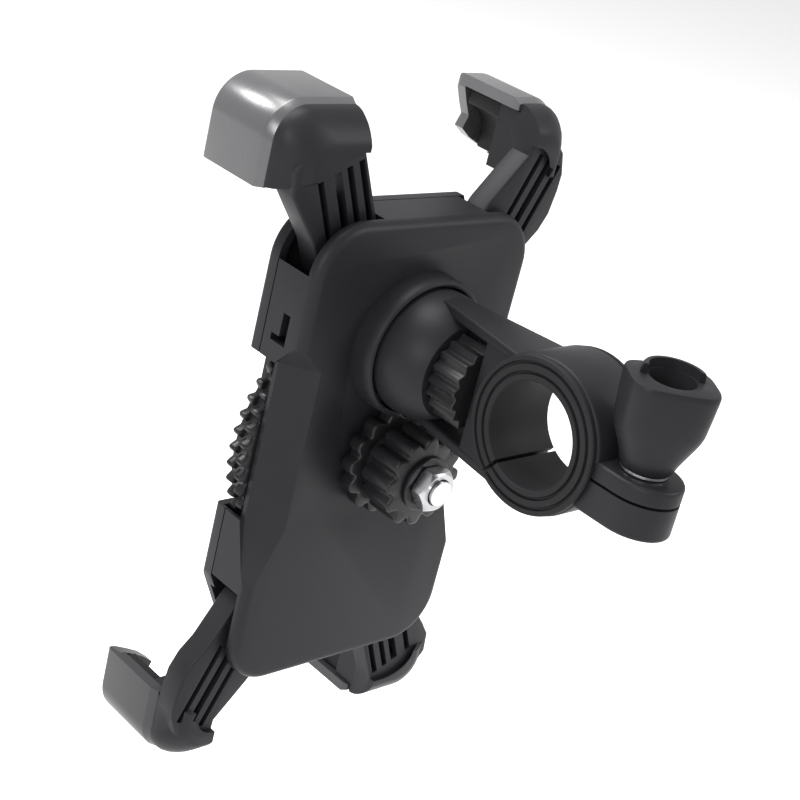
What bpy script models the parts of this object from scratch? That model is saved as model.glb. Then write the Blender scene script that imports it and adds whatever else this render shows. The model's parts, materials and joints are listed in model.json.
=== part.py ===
"""Handlebar phone mount: four-claw holder on a ball joint and a split bar clamp.

Frame: +Z is the long axis of a phone standing upright, -Y is the side its screen faces, +Y points to the
handlebar, X is the handlebar's own axis. The origin is the centre of the clamp ring. Lengths below are in
millimetres and every finished mesh is scaled to metres.
"""
from math import asin, cos, degrees, pi, radians, sin, sqrt, tan

import bmesh
import bpy
from mathutils import Matrix, Vector

MM = 0.001

# Handlebar clamp
RING_R = 16.5
RING_HALF = 7.6
RING_BORE_R = 14.9
SLEEVE_BORE_R = 11.0
SLEEVE_LIP_R = 16.2
SLEEVE_LIP_T = 1.2
YOKE_NARROW = (3.4, -36.0)
YOKE_WIDE = (7.6, -8.5)
YOKE_PLATES = ((10.8, 13.2), (-15.2, -12.8))
LUG_Y = 22.0
LUG_HALF = 9.0
LUG_TOP = 2.3
LUG_BOTTOM = -9.0
SPLIT = (-1.8, -1.2)
NUT_TOP = 22.0
NUT_BORE_R = 4.8
WING_TURN = radians(-36.0)

# Ball joint
BALL = Vector((0.0, -38.5, -1.0))
BALL_R = 7.0
SEAT_T = 1.0
DOME_R = 14.5
DOME_FRONT = -3.0
DOME_FLAT = 9.5
SOCKET_R = 9.9
LOCK_WHEEL_R = 10.3
LOCK_WHEEL_LO = -28.6
LOCK_WHEEL_HI = -20.6
PLUNGER_R = 3.0

# Case
CASE_HALF = 31.5
CASE_LOW = -84.4
CASE_HIGH = 27.0
CASE_CORNER = 12.0
CASE_FRONT = -61.0
CASE_SPLIT = -57.6
CASE_REAR = -45.0
WALL = 2.0
FLOOR_REAR = -47.4
FLOOR_FRONT = -59.2
PAD_FRONT = -63.1
BAY_LOW = -44.0
BAY_HIGH = -6.0
WAIST_EDGE = 24.4
WAIST_FLANK = 30.2
WAIST_DEPTH = -52.2
WAIST_LOW_END = -60.0
WAIST_HIGH_END = 0.0
CORNER_CUT = ((31.7, 32.0), (45.0, 32.0), (45.0, 70.0), (19.0, 70.0), (19.0, 56.2))
POST_R = 3.0
POSTS = ((-9.5, 49.0), (6.0, 49.0), (9.5, -49.0), (-6.0, -49.0))

# Rack and pinion drive
HUB_Z = -28.7
WHEEL_R = 33.5
WHEEL_LO = -58.8
WHEEL_HI = -53.7
WHEEL_LOBES = 52
BOLT_R = 2.9
PINION_R = 6.0
PINION_TEETH = 12
TOOTH_PITCH = 2.0 * pi * PINION_R / PINION_TEETH
TOOTH_HALF = 0.58
ADDENDUM = 0.9
DEDENDUM = 1.15
PRESSURE = radians(20.0)
RACK_BACK = 9.2
RACK_TAIL = -16.0
LEVEL_A = (-53.3, -50.7)
LEVEL_B = (-50.4, -48.0)
ARM_LEAN = radians(27.0)
ARM_Y = (-55.7, -48.9)
GATE = {"A": (-8.0, 13.0), "B": (-10.0, 13.6)}

# Claws, relative to the hub axis
CLAW_INNER = {"A": 20.6, "B": 27.6}
CLAW_OUTER = 42.0
CLAW_Z = (60.0, 78.5)
CLAW_FRONT = -75.5
CLAW_REAR = -56.0
PLUG_FRONT = -61.7
LIP_T = 2.6
SHELL_T = 2.6
PHONE_X = 35.75
PHONE_Z = 72.1
GAP = 0.3

PLASTIC = (0.028, 0.028, 0.031)
RUBBER = (0.018, 0.018, 0.019)
CAP_GREY = (0.115, 0.115, 0.120)
STEEL = (0.62, 0.62, 0.63)
NYLON = (0.60, 0.59, 0.55)


def clear_scene():
    for obj in list(bpy.data.objects):
        bpy.data.objects.remove(obj, do_unlink=True)


def solid(bm, name="solid"):
    """Close a bmesh into a scene object with its normals facing out."""
    bmesh.ops.remove_doubles(bm, verts=bm.verts, dist=0.0005)
    bmesh.ops.recalc_face_normals(bm, faces=bm.faces)
    mesh = bpy.data.meshes.new(name)
    bm.to_mesh(mesh)
    bm.free()
    obj = bpy.data.objects.new(name, mesh)
    bpy.context.collection.objects.link(obj)
    return obj


def place(axis, u, v, w):
    """Point with (u, v) across the axis and w along it: (x, z) for Y, (y, z) for X, (x, y) for Z."""
    return {"Y": (u, w, v), "X": (w, u, v), "Z": (u, v, w)}[axis]


def loft(levels, axis="Y"):
    """Closed solid through outlines of equal length, each given as (height, outline)."""
    bm = bmesh.new()
    rows = [[bm.verts.new(place(axis, u, v, h)) for u, v in outline] for h, outline in levels]
    count = len(rows[0])
    for low, high in zip(rows, rows[1:]):
        for i in range(count):
            j = (i + 1) % count
            bm.faces.new((low[i], low[j], high[j], high[i]))
    bm.faces.new(rows[0])
    bm.faces.new(rows[-1])
    return solid(bm)


def prism(outline, lo, hi, axis="Y"):
    return loft([(lo, outline), (hi, outline)], axis)


def box(x, y, z):
    """Block between the (low, high) pairs on each axis."""
    return prism([(x[0], z[0]), (x[1], z[0]), (x[1], z[1]), (x[0], z[1])], y[0], y[1])


def lathe(profile, axis, centre, steps=48):
    """Turn a closed (height, radius) profile about an axis through the centre."""
    bm = bmesh.new()
    ring = [bm.verts.new((r, 0.0, h)) for h, r in profile]
    edges = []
    for i, vert in enumerate(ring):
        after = ring[(i + 1) % len(ring)]
        if vert.co.x > 1e-6 or after.co.x > 1e-6:
            edges.append(bm.edges.new((vert, after)))
    bmesh.ops.spin(bm, geom=ring + edges, cent=(0, 0, 0), axis=(0, 0, 1), angle=2 * pi, steps=steps)
    turn = {"Z": Matrix.Identity(4), "Y": Matrix.Rotation(-pi / 2, 4, "X"),
            "X": Matrix.Rotation(pi / 2, 4, "Y")}[axis]
    bmesh.ops.transform(bm, matrix=Matrix.Translation(centre) @ turn, verts=bm.verts)
    return solid(bm)


def rod(axis, centre, r, lo, hi, steps=32):
    return lathe([(lo, 0.0), (lo, r), (hi, r), (hi, 0.0)], axis, centre, steps)


def settle(obj):
    """Replace an object's mesh by its evaluated one and drop the modifiers."""
    graph = bpy.context.evaluated_depsgraph_get()
    mesh = bpy.data.meshes.new_from_object(obj.evaluated_get(graph))
    obj.modifiers.clear()
    obj.data = mesh
    return obj


def merge(obj, tool, operation):
    mod = obj.modifiers.new(operation, "BOOLEAN")
    mod.operation = operation
    mod.solver = "EXACT"
    mod.object = tool
    settle(obj)
    bpy.data.objects.remove(tool, do_unlink=True)
    return weld(obj)


def weld(obj):
    """Join vertices that a join or a cut left almost on top of each other."""
    bm = bmesh.new()
    bm.from_mesh(obj.data)
    bmesh.ops.remove_doubles(bm, verts=bm.verts, dist=0.002)
    bmesh.ops.dissolve_degenerate(bm, edges=bm.edges, dist=0.002)
    bm.to_mesh(obj.data)
    bm.free()
    return obj


def add(obj, *tools):
    for tool in tools:
        merge(obj, tool, "UNION")
    return obj


def cut(obj, *tools):
    for tool in tools:
        merge(obj, tool, "DIFFERENCE")
    return obj


def soften(obj, width, segments=2, angle=40.0):
    mod = obj.modifiers.new("edges", "BEVEL")
    mod.width = width
    mod.segments = segments
    mod.limit_method = "ANGLE"
    mod.angle_limit = radians(angle)
    return settle(obj)


def tidy(obj):
    """Merge coplanar faces and weld stray duplicates left by the joins."""
    bm = bmesh.new()
    bm.from_mesh(obj.data)
    bmesh.ops.remove_doubles(bm, verts=bm.verts, dist=0.002)
    bmesh.ops.dissolve_degenerate(bm, edges=bm.edges, dist=0.002)
    bmesh.ops.dissolve_limit(bm, angle_limit=radians(0.3), verts=bm.verts, edges=bm.edges)
    bmesh.ops.triangulate(bm, faces=bm.faces)
    bmesh.ops.recalc_face_normals(bm, faces=bm.faces)
    bm.to_mesh(obj.data)
    bm.free()
    return obj


def finish(obj, name, colour, roughness, metallic=0.0, origin=(0.0, 0.0, 0.0)):
    """Name a piece, put its origin on its own axis, scale it to metres and give it a material."""
    tidy(obj)
    obj.name = name
    obj.data.name = name
    obj.data.transform(Matrix.Scale(MM, 4) @ Matrix.Translation(-Vector(origin)))
    obj.location = Vector(origin) * MM
    obj.data.shade_smooth()
    obj.data.set_sharp_from_angle(angle=radians(30.0))
    mat = bpy.data.materials.new(name + "_mat")
    mat.use_nodes = True
    shader = mat.node_tree.nodes["Principled BSDF"]
    shader.inputs["Base Color"].default_value = (*colour, 1.0)
    shader.inputs["Roughness"].default_value = roughness
    shader.inputs["Metallic"].default_value = metallic
    obj.data.materials.clear()
    obj.data.materials.append(mat)
    return obj


def round_rect(x0, x1, z0, z1, r, steps=5):
    """Rectangle outline with rounded corners."""
    points = []
    corners = ((x1 - r, z1 - r, 0), (x0 + r, z1 - r, 90), (x0 + r, z0 + r, 180), (x1 - r, z0 + r, 270))
    for cx, cz, start in corners:
        for k in range(steps + 1):
            a = radians(start + 90.0 * k / steps)
            points.append((cx + r * cos(a), cz + r * sin(a)))
    return points


def lobed(radius, depth, lobes, crest=0.5, centre=(0.0, 0.0), phase=0.0):
    """Outline of a knurled or fluted round: each lobe is a crest and a root."""
    points = []
    step = 2 * pi / lobes
    for k in range(lobes):
        for share, r in ((-0.5 * crest, radius), (0.5 * crest, radius), (0.5, radius - depth)):
            a = phase + step * (k + share)
            points.append((centre[0] + r * cos(a), centre[1] + r * sin(a)))
    return points


def hexagon(across, centre=(0.0, 0.0)):
    r = across / sqrt(3.0)
    return [(centre[0] + r * cos(k * pi / 3), centre[1] + r * sin(k * pi / 3)) for k in range(6)]


# ---------------------------------------------------------------- clamp side

def clamp_body():
    dome = lathe(dome_profile(), "Y", BALL, 40)
    ring = soften(rod("X", (0, 0, 0), RING_R, -RING_HALF, RING_HALF, 56), 0.8, 1)
    web = prism([(-5.8, -19.2), (5.8, -19.2), (6.9, -12.5), (-6.9, -12.5)], -13.8, 11.8, "Z")
    body = add(ring, *[yoke_plate(*level) for level in YOKE_PLATES], lug_block(), dome, web)
    cut(body, joint_cavity(), rod("X", (0, 0, 0), RING_BORE_R, -20, 20, 56))
    cut(body, box((-20, 20), (RING_BORE_R - 3, 50), SPLIT))
    cut(body, rod("Z", (0, LUG_Y, 0), BOLT_R, -20, 20), bolt_pocket())
    return finish(body, "clamp_body", PLASTIC, 0.55)


def yoke_plate(lo, hi):
    """Wedge plate from the dome to the ring, above or below the thumbwheel."""
    (x0, y0), (x1, y1) = YOKE_NARROW, YOKE_WIDE
    return soften(prism([(-x0, y0), (x0, y0), (x1, y1), (-x1, y1)], lo, hi, "Z"), 0.6, 1)


def dome_profile():
    """Outside of the dome: a sphere cut by its front rim and by the flat behind."""
    points = [(DOME_FRONT, 0.0)]
    first = -asin(DOME_FRONT / DOME_R)
    last = asin(DOME_FLAT / DOME_R)
    for k in range(8):
        a = -first + (first + last) * k / 7
        points.append((DOME_R * sin(a), DOME_R * cos(a)))
    return points + [(DOME_FLAT, 0.0)]


def joint_cavity():
    """Spherical seat, socket ring bore and plunger hole inside the dome."""
    seat = [(SOCKET_R * sin(a), SOCKET_R * cos(a)) for a in [radians(18 + 13 * k) for k in range(4)]]
    stem = PLUNGER_R + GAP
    back = seat[-1][0]
    profile = [(-9.0, 0.0), (-9.0, 11.9), (seat[0][0], 11.9)] + seat + [(back, stem), (14.0, stem), (14.0, 0.0)]
    return lathe(profile, "Y", BALL, 40)


def lug_block():
    """Both lugs in one piece: as wide as the ring, then a round end about the clamp bolt."""
    points = [(-RING_HALF, 8.0), (RING_HALF, 8.0), (RING_HALF, RING_R + 0.2)]
    for k in range(17):
        a = radians(-30.0 + 240.0 * k / 16)
        points.append((LUG_HALF * cos(a), LUG_Y + LUG_HALF * sin(a)))
    points.append((-RING_HALF, RING_R + 0.2))
    return soften(prism(points, LUG_BOTTOM, LUG_TOP, "Z"), 0.8)


def bolt_pocket():
    return prism(hexagon(10.8, (0.0, LUG_Y)), LUG_BOTTOM - 5.0, LUG_BOTTOM + 3.2, "Z")


def bar_sleeve():
    edge = RING_HALF + GAP
    end = edge + SLEEVE_LIP_T
    half = [(end, SLEEVE_BORE_R), (end, SLEEVE_LIP_R), (edge, SLEEVE_LIP_R), (edge, RING_BORE_R - GAP)]
    sleeve = lathe(half + [(-h, r) for h, r in reversed(half)], "X", (0, 0, 0), 44)
    slit = box((-20, 20), (0, 30), (-0.4, 0.4))
    slit.data.transform(Matrix.Rotation(radians(-125.0), 4, "X"))
    return finish(cut(sleeve, slit), "bar_sleeve", RUBBER, 0.7)


def clamp_fasteners():
    centre = (0.0, LUG_Y)
    bolt = prism(hexagon(10.0, centre), LUG_BOTTOM + 0.3, LUG_BOTTOM + 2.8, "Z")
    add(bolt, rod("Z", (0, LUG_Y, 0), 2.5, LUG_BOTTOM + 2.0, 17.5))
    finish(bolt, "clamp_bolt", STEEL, 0.3, 1.0, (0, LUG_Y, 0))
    low = LUG_TOP + GAP
    washer = lathe([(low, BOLT_R), (low, 4.9), (low + 0.5, 4.9), (low + 0.5, BOLT_R)], "Z", (0, LUG_Y, 0), 28)
    finish(washer, "clamp_washer", STEEL, 0.35, 1.0, (0, LUG_Y, 0))


def wing_outline(half_long, half_wide, square, steps=28):
    """Thumb nut in plan: round when square is 2, nearer a rounded bar as it grows."""
    points = []
    for k in range(steps):
        a = 2 * pi * k / steps
        c, d = abs(cos(a)) / half_long, abs(sin(a)) / half_wide
        r = (c ** square + d ** square) ** (-1 / square)
        points.append((r * cos(a + WING_TURN), LUG_Y + r * sin(a + WING_TURN)))
    return points


def clamp_knob():
    """Thumb nut: round foot, two wings that widen towards its top, stepped bore and half collar."""
    low = LUG_TOP + 0.5 + 2 * GAP
    sizes = ((low, 5.4, 5.3, 2.0), (6.0, 6.0, 5.8, 2.2), (10.0, 8.2, 6.6, 2.6), (13.0, 9.3, 7.0, 3.4),
             (NUT_TOP - 1.5, 9.9, 7.4, 4.2), (NUT_TOP - 0.4, 9.9, 7.4, 4.2), (NUT_TOP, 9.4, 7.0, 4.2))
    knob = loft([(z, wing_outline(x, y, n)) for z, x, y, n in sizes], "Z")
    collar = lathe([(NUT_TOP - 1.0, 5.2), (NUT_TOP - 1.0, 6.6), (NUT_TOP + 2.0, 6.3), (NUT_TOP + 2.0, 5.2)],
                   "Z", (0, LUG_Y, 0), 36)
    near_half = box((-9, 9), (-0.5, 9), (15, 30))
    near_half.data.transform(Matrix.Translation((0, LUG_Y, 0)) @ Matrix.Rotation(WING_TURN, 4, "Z"))
    cut(collar, near_half)
    add(knob, collar)
    cut(knob, rod("Z", (0, LUG_Y, 0), NUT_BORE_R, 12.0, 30.0), rod("Z", (0, LUG_Y, 0), BOLT_R, 0.0, 14.0))
    finish(knob, "clamp_knob", PLASTIC, 0.5, 0.0, (0, LUG_Y, 0))
    inner, outer = BOLT_R - 0.1, NUT_BORE_R - GAP
    insert = lathe([(12.3, inner), (12.3, outer), (16.3, outer), (16.3, inner)], "Z", (0, LUG_Y, 0), 20)
    finish(insert, "clamp_knob_insert", (0.72, 0.55, 0.25), 0.35, 1.0, (0, LUG_Y, 0))


# ---------------------------------------------------------------- ball joint

def zone(inner, outer, low, high, steps=4):
    """Spherical ring between two polar angles measured from the front pole, in degrees."""
    angles = [radians(low + (high - low) * k / steps) for k in range(steps + 1)]
    outside = [(-outer * cos(a), outer * sin(a)) for a in angles]
    inside = [(-inner * cos(a), inner * sin(a)) for a in reversed(angles)]
    return lathe(outside + inside, "Y", BALL, 28)


def joint_rings():
    first = BALL_R + GAP
    second = first + SEAT_T + GAP
    finish(zone(first, first + SEAT_T, 42, 126), "ball_seat_inner", NYLON, 0.5, 0.0, BALL)
    finish(zone(second, second + SEAT_T, 57, 134), "ball_seat_outer", NYLON, 0.5, 0.0, BALL)
    bore = [(SOCKET_R * sin(a), SOCKET_R * cos(a)) for a in [radians(-20.0 + 9.0 * k) for k in range(5)]]
    ring = lathe([(bore[0][0], 11.6)] + bore + [(bore[-1][0], 11.6)], "Y", BALL, 40)
    finish(ring, "socket_ring", PLASTIC, 0.5, 0.0, BALL)


def ball_stud():
    neck = 3.6
    base = CASE_REAR - 0.6 + GAP - BALL.y
    start = asin(neck / BALL_R)
    ball = [(-BALL_R * cos(a), BALL_R * sin(a)) for a in [start + (pi - start) * k / 8 for k in range(9)]]
    ball[-1] = (BALL_R, 0.0)
    stud = lathe([(base, 0.0), (base, 5.2), (base + 0.9, 5.2), (base + 1.2, neck)] + ball, "Y", BALL, 28)
    cut(stud, rod("Y", BALL, 2.2, base - 1.0, 0.0, 24))
    finish(stud, "ball_stud", STEEL, 0.35, 1.0, BALL)
    head = FLOOR_REAR + 0.1 - BALL.y
    screw = lathe([(head, 0.0), (head, 3.3), (head + 1.4, 1.9), (-0.6, 1.9), (-0.6, 0.0)], "Y", BALL, 32)
    cut(screw, prism(hexagon(2.6, (BALL.x, BALL.z)), BALL.y + head - 1.0, BALL.y + head + 0.9))
    finish(screw, "ball_stud_screw", STEEL, 0.3, 1.0, BALL)


def ball_lock():
    centre = (BALL.x, BALL.z)
    wheel = prism(lobed(LOCK_WHEEL_R, 1.0, 22, 0.45, centre), LOCK_WHEEL_LO, LOCK_WHEEL_HI)
    cut(wheel, rod("Y", (BALL.x, 0, BALL.z), PLUNGER_R + GAP, -40, 0))
    finish(wheel, "ball_lock_wheel", PLASTIC, 0.45, 0.0, (BALL.x, LOCK_WHEEL_LO, BALL.z))
    tip = BALL.y + BALL_R + GAP
    plunger = rod("Y", (BALL.x, 0, BALL.z), PLUNGER_R, tip, LOCK_WHEEL_HI - 0.2, 28)
    finish(plunger, "pressure_plunger", STEEL, 0.3, 1.0, (BALL.x, BALL.y, BALL.z))


# ---------------------------------------------------------------- case

def case_outline(inset=0.0):
    return round_rect(-CASE_HALF + inset, CASE_HALF - inset, CASE_LOW + inset, CASE_HIGH - inset,
                      CASE_CORNER - inset)


def bay_cuts():
    """Side bays where the wheel rim comes out, and the round clearance for the wheel itself."""
    cuts = [rod("Y", (0, 0, HUB_Z), WHEEL_R + 0.7, FLOOR_FRONT, WHEEL_HI + 0.4, 64)]
    for side in (-1, 1):
        x = sorted((side * 26.0, side * 40.0))
        cuts.append(box(x, (CASE_FRONT - 5, WHEEL_HI + 0.4), (BAY_LOW, BAY_HIGH)))
    return cuts


def front_plate():
    plate = soften(prism(case_outline(), CASE_FRONT, CASE_SPLIT + 6.0), 1.2, 1)
    cut(plate, box((-50, 50), (CASE_SPLIT, -30), (-120, 60)))
    cut(plate, prism(case_outline(WALL), FLOOR_FRONT, -40))
    for x, z in POSTS:
        add(plate, rod("Y", (x, 0, HUB_Z + z), POST_R, FLOOR_FRONT - 0.5, CASE_SPLIT, 16))
    cut(plate, *bay_cuts())
    for x, z in POSTS:
        cut(plate, screw_shape(x, z, GAP))
    for sx, sz in ((1, -1), (-1, 1)):
        cut(plate, prism(mirrored(CORNER_CUT, sx, sz), CASE_FRONT - 5, CASE_SPLIT + 5))
    return finish(plate, "front_plate", PLASTIC, 0.55)


def screw_shape(x, z, grow=0.0):
    """Countersunk cover screw, or its hole when grown."""
    head = CASE_FRONT + 0.15
    tip = -50.6 + grow
    top = [(head - 1.0, 0.0), (head - 1.0, 2.3 + grow)] if grow else [(head, 0.0)]
    profile = top + [(head, 2.3 + grow), (head + 1.3, 1.1 + grow), (tip, 1.1 + grow), (tip, 0.0)]
    return lathe(profile, "Y", (x, 0, HUB_Z + z), 14)


def cover_screws():
    for k, (x, z) in enumerate(POSTS):
        finish(screw_shape(x, z), "cover_screw_%d" % (k + 1), STEEL, 0.3, 1.0, (x, CASE_FRONT, HUB_Z + z))


def bay_slopes():
    """Waist of the rear cover: the flat back rolls off beside the wheel and flares out above and below it."""
    shapes = []
    for side in (-1, 1):
        outline = [(side * WAIST_EDGE, CASE_REAR + 0.01), (side * WAIST_FLANK, WAIST_DEPTH),
                   (side * WAIST_FLANK, -70.0), (side * 45.0, -70.0), (side * 45.0, CASE_REAR + 5.0),
                   (side * 18.0, CASE_REAR + 5.0)]
        shapes.append(prism(outline, BAY_LOW, BAY_HIGH, "Z"))
        for start, end in ((BAY_LOW, WAIST_LOW_END), (BAY_HIGH, WAIST_HIGH_END)):
            shapes.append(loft([(start, flare(side, 0.0)), (end, flare(side, 1.0))], "Z"))
    return shapes


def flare(side, share):
    """Cutter section between the waist (share 0) and the full width (share 1)."""
    edge = WAIST_EDGE + share * (CASE_HALF - 0.5 - WAIST_EDGE)
    flank = WAIST_FLANK + share * (CASE_HALF + 0.5 - WAIST_FLANK)
    depth = WAIST_DEPTH + share * (CASE_REAR - 1.5 - WAIST_DEPTH)
    return [(side * edge, CASE_REAR + 0.01), (side * flank, depth), (side * 45.0, depth),
            (side * 45.0, CASE_REAR + 5.0), (side * 18.0, CASE_REAR + 5.0)]


def backing(side, shift):
    """Section of the wall that stays behind the waist, moved outwards where the waist flares."""
    inner, flank = WAIST_EDGE - 3.2 + shift, WAIST_FLANK - 1.6 + shift
    return [(side * inner, FLOOR_REAR + 1.0), (side * flank, -55.0), (side * flank, -90.0), (side * 45.0, -90.0),
            (side * 45.0, FLOOR_REAR + 1.0)]


def cover_cavity():
    """Hollow of the rear cover, kept clear of the sloped waist."""
    hollow = prism(case_outline(WALL), -80, FLOOR_REAR)
    low, high = BAY_LOW - 1.2, BAY_HIGH + 1.2
    for side in (-1, 1):
        cut(hollow, prism(backing(side, 0.0), low, high, "Z"))
        for start, end in ((low, WAIST_LOW_END), (high, WAIST_HIGH_END + 0.6)):
            levels = [(start, backing(side, 0.6)), (end, backing(side, 6.6))]
            cut(hollow, loft(levels, "Z"))
    return hollow


def rear_cover():
    cover = soften(prism(case_outline(), CASE_SPLIT - 6.0, CASE_REAR), 2.0, 2)
    cut(cover, box((-50, 50), (-90, CASE_SPLIT + GAP), (-120, 60)), cover_cavity())
    cut(cover, *bay_slopes())
    cut(cover, *bay_cuts())
    for x, z in POSTS:
        add(cover, rod("Y", (x, 0, HUB_Z + z), POST_R, CASE_SPLIT + GAP, FLOOR_REAR + 0.5, 16))
        cut(cover, screw_shape(x, z, GAP))
    cut(cover, *[arm_gate(kind, turn) for kind in "AB" for turn in (0, 180)])
    cut(cover, rear_pocket())
    rim = [(CASE_REAR - 1.2, 15.0), (CASE_REAR - 1.2, 16.5), (-40.2, 16.3), (-39.7, 15.8), (-39.7, 15.0)]
    ring = cut(lathe(rim, "Y", (0, 0, BALL.z), 48), rod("Y", (0, 0, HUB_Z), 13.4, -45.3, -30.0, 40))
    add(cover, ring)
    cut(cover, rod("Y", (BALL.x, 0, BALL.z), 2.2, -60, -40))
    cut(cover, lathe([(-50.0, 0.0), (-50.0, 3.7), (FLOOR_REAR + 0.05, 3.7), (-45.9, 2.1), (-45.9, 0.0)], "Y",
                     (0, 0, BALL.z), 32))
    cut(cover, rod("Y", (0, 0, HUB_Z), BOLT_R + GAP, -60, -30))
    cut(cover, *flank_windows())
    return finish(cover, "rear_cover", PLASTIC, 0.55)


def rear_pocket():
    """Shallow sunk panel round the ball joint and the lock knob."""
    return prism(round_rect(-18.0, 18.0, HUB_Z - 17.0, BALL.z + 18.5, 16.0, 8), CASE_REAR - 0.6, -30)


def flank_windows():
    """L-shaped snap-fit windows in the two flank areas that no arm runs through."""
    shapes = []
    for turn in (0.0, pi):
        for y, z in (((-52.5, -50.3), (27.0, 34.0)), ((-55.0, -52.3), (27.0, 28.6))):
            window = box((29.0, 40.0), y, z)
            window.data.transform(Matrix.Translation((0, 0, HUB_Z)) @ Matrix.Rotation(turn, 4, "Y"))
            shapes.append(window)
    return shapes


def phone_pad():
    pad = soften(prism(round_rect(-24.0, 24.0, HUB_Z - 46.0, HUB_Z + 44.0, 9.0), PAD_FRONT, CASE_FRONT - GAP), 0.4, 1)
    for k in range(-3, 4):
        cut(pad, box((-19.0, 19.0), (PAD_FRONT - 1, PAD_FRONT + 0.6), (HUB_Z - 1.0 + 11 * k, HUB_Z + 1.0 + 11 * k)))
    return finish(pad, "phone_pad", RUBBER, 0.75)


# ---------------------------------------------------------------- drive

def main_bolt():
    centre = (0.0, HUB_Z)
    bolt = prism(hexagon(9.0, centre), FLOOR_FRONT + GAP, -56.2)
    add(bolt, rod("Y", (0, 0, HUB_Z), BOLT_R, -57.0, -25.4))
    finish(bolt, "main_bolt", STEEL, 0.25, 1.0, (0, CASE_FRONT, HUB_Z))


def adjusting_wheel():
    centre = (0.0, HUB_Z)
    wheel = prism(lobed(WHEEL_R, 1.9, WHEEL_LOBES, 0.45, centre), WHEEL_LO, WHEEL_HI)
    cut(wheel, lathe([(WHEEL_LO - 1, 9.0), (WHEEL_LO + 1.6, 9.5), (WHEEL_LO + 1.6, 27.0), (WHEEL_LO - 1, 27.5)],
                     "Y", (0, 0, HUB_Z), 24))
    cut(wheel, rod("Y", (0, 0, HUB_Z), 6.0, -70, -55.9, 20), rod("Y", (0, 0, HUB_Z), BOLT_R + GAP, -70, -40, 20))
    finish(wheel, "adjusting_wheel", PLASTIC, 0.6, 0.0, (0, WHEEL_LO, HUB_Z))


def pinion_outline():
    """Twelve straight-flanked teeth with a gap on the first arm's rack."""
    rack_side = pi - ARM_LEAN
    points = []
    for k in range(PINION_TEETH):
        mid = rack_side + 2 * pi * (k + 0.5) / PINION_TEETH
        for half, r in ((0.85, PINION_R - DEDENDUM), (TOOTH_HALF, PINION_R), (0.25, PINION_R + ADDENDUM)):
            points.append((mid - half / r, r))
        for half, r in ((0.25, PINION_R + ADDENDUM), (TOOTH_HALF, PINION_R), (0.85, PINION_R - DEDENDUM)):
            points.append((mid + half / r, r))
    return [(r * cos(a), HUB_Z + r * sin(a)) for a, r in points]


def pinion():
    gear = prism(pinion_outline(), WHEEL_HI + GAP, FLOOR_REAR - 0.3)
    cut(gear, rod("Y", (0, 0, HUB_Z), BOLT_R + GAP, -70, -40, 24))
    finish(gear, "pinion", (0.75, 0.74, 0.70), 0.5, 0.0, (0, WHEEL_HI, HUB_Z))


def lock_knob():
    centre = (0.0, HUB_Z)
    flange = prism(lobed(12.8, 1.6, 14, 0.5, centre), CASE_REAR + GAP, -41.0)
    grip = prism(lobed(10.8, 1.6, 12, 0.5, centre), -40.0, -31.0)
    knob = add(flange, rod("Y", (0, 0, HUB_Z), 8.8, -42.0, -38.0, 40), grip)
    cut(knob, rod("Y", (0, 0, HUB_Z), BOLT_R + GAP, -60, -20))
    finish(knob, "lock_knob", PLASTIC, 0.45, 0.0, (0, CASE_REAR, HUB_Z))
    washer = lathe([(-30.7, BOLT_R + GAP), (-30.7, 6.4), (-29.9, 6.4), (-29.9, BOLT_R + GAP)], "Y", (0, 0, HUB_Z), 28)
    finish(washer, "knob_washer", RUBBER, 0.4, 0.0, (0, CASE_REAR, HUB_Z))
    nut = soften(prism(hexagon(9.2, centre), -29.6, -26.2), 0.5, 2)
    cut(nut, rod("Y", (0, 0, HUB_Z), BOLT_R + GAP, -60, -10))
    finish(nut, "knob_nut", STEEL, 0.15, 1.0, (0, CASE_REAR, HUB_Z))


# ---------------------------------------------------------------- arms and claws

def arm_frame(kind, turn):
    """Matrix from the arm's own (outward, y, sideways) axes to the mount, about the hub axis."""
    lean = ARM_LEAN if kind == "A" else pi - ARM_LEAN
    out = Vector((sin(lean), 0.0, cos(lean)))
    side = Vector((-out.z, 0.0, out.x))
    frame = Matrix((out, Vector((0, 1, 0)), side)).transposed().to_4x4()
    return Matrix.Translation((0, 0, HUB_Z)) @ Matrix.Rotation(radians(turn), 4, "Y") @ frame


def local_prism(kind, turn, outline, lo, hi):
    shape = prism(outline, lo, hi)
    shape.data.transform(arm_frame(kind, turn))
    return shape


def arm_gate(kind, turn):
    """Opening in the cover's wall that the arm runs through over its whole travel."""
    inner, outer = GATE[kind]
    return local_prism(kind, turn, [(37, inner), (90, inner), (90, outer), (37, outer)], -80.0,
                       LEVEL_B[1] + GAP)


def rack_outline(phase):
    """Strip with teeth on the hub side: straight flanks, pitch line at the pinion radius."""
    tips, roots = PINION_R - ADDENDUM, PINION_R + DEDENDUM
    tip_half = TOOTH_HALF - ADDENDUM * tan(PRESSURE)
    root_half = TOOTH_HALF + DEDENDUM * tan(PRESSURE)
    points = [(RACK_TAIL, roots)]
    first = int((RACK_TAIL + 1.5 - phase) / TOOTH_PITCH)
    for k in range(first, 4):
        s = phase + k * TOOTH_PITCH
        points += [(s - root_half, roots), (s - tip_half, tips), (s + tip_half, tips), (s + root_half, roots)]
    return points + [(46.0, roots), (46.0, RACK_BACK), (RACK_TAIL, RACK_BACK)]


def rack_phase(kind):
    """Shift of the tooth row that puts it in the pinion's gap for this arm direction."""
    if kind == "A":
        return 0.0
    step = 360.0 / PINION_TEETH
    apart = (180.0 - 2 * degrees(ARM_LEAN)) % step
    return -PINION_R * radians(apart)


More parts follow.
